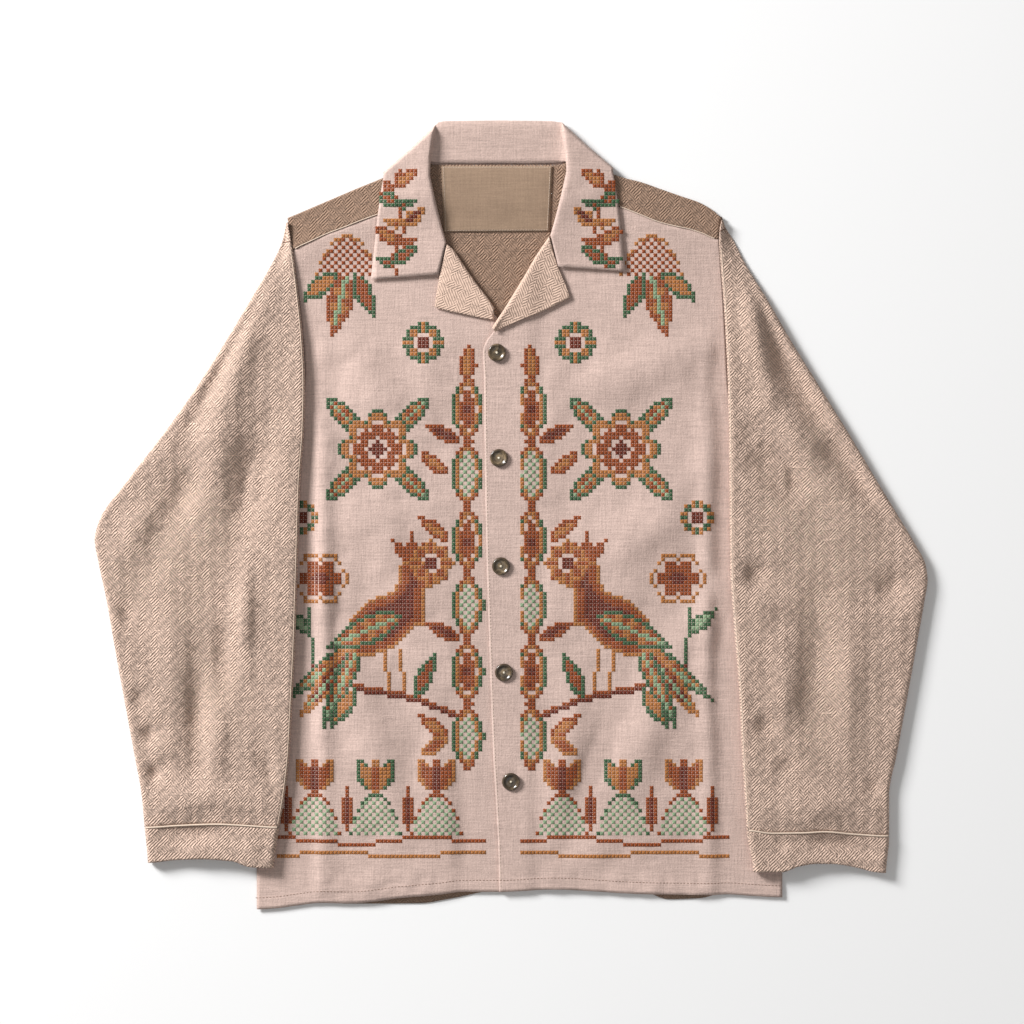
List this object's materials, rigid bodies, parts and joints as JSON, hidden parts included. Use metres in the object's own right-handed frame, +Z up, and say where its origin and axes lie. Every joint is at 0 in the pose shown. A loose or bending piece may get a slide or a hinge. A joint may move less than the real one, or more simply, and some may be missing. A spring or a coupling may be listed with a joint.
{
  "type": "embroidered long-sleeve camp collar shirt laid flat",
  "caption": "Long-sleeve linen and crinkled cotton shirt with an open camp collar, horn buttons and cross-stitched fronts, laid flat on its back.",
  "frame": {"origin": "on the table under the centre of the laid-out shirt", "axes": "+X towards the wearer's left sleeve, +Y towards the collar, +Z up from the table"},
  "size_m": [0.83, 0.7884, 0.01],
  "materials": {
    "linen": "matte slubbed plain weave",
    "cotton": "matte crinkled broken twill",
    "label": "matte plain tape",
    "thread_rust": "stranded cotton with a soft shine",
    "thread_green": "stranded cotton with a soft shine",
    "sewing_thread": "matte spun thread",
    "horn": "polished mottled horn"
  },
  "bodies": {
    "root": {"back": "cotton", "front_right": "linen", "front_left": "linen", "sleeve_right": "cotton", "sleeve_left": "cotton", "cuff_right": "cotton", "cuff_left": "cotton", "collar": "linen", "lapel_right": "cotton", "lapel_left": "cotton", "neck_label": "label", "button_1": "horn", "button_2": "horn", "button_3": "horn", "button_4": "horn", "button_5": "horn"}
  },
  "joints": []
}
